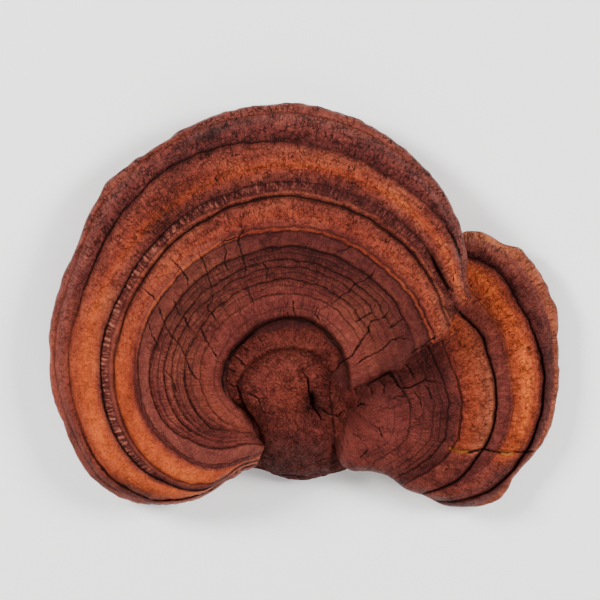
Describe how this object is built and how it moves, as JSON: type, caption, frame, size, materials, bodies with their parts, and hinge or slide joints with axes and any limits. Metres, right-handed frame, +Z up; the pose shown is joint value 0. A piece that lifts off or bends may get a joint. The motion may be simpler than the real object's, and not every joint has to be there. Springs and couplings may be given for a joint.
{
  "type": "reishi mushroom",
  "caption": "Dried woody bracket mushroom: a large ringed fan cap and a smaller one beside it, grown from one short leaning stem with a flat cut.",
  "frame": {"origin": "centre of the base of the box round the mushroom, on the ground it lies on", "axes": "+Z up, away from the pore side; +Y from the stem towards the large cap's far margin; +X towards the small cap"},
  "size_m": [0.2038, 0.1608, 0.0425],
  "materials": {
    "dark_crust": "dull woody crust",
    "red_crust": "lacquered crust, satin, wrinkled and cracked",
    "orange_crust": "lacquered crust, satin, wrinkled"
  },
  "bodies": {
    "root": {"stem": "dark_crust", "large_cap": "red_crust", "small_cap": "orange_crust"}
  },
  "joints": []
}
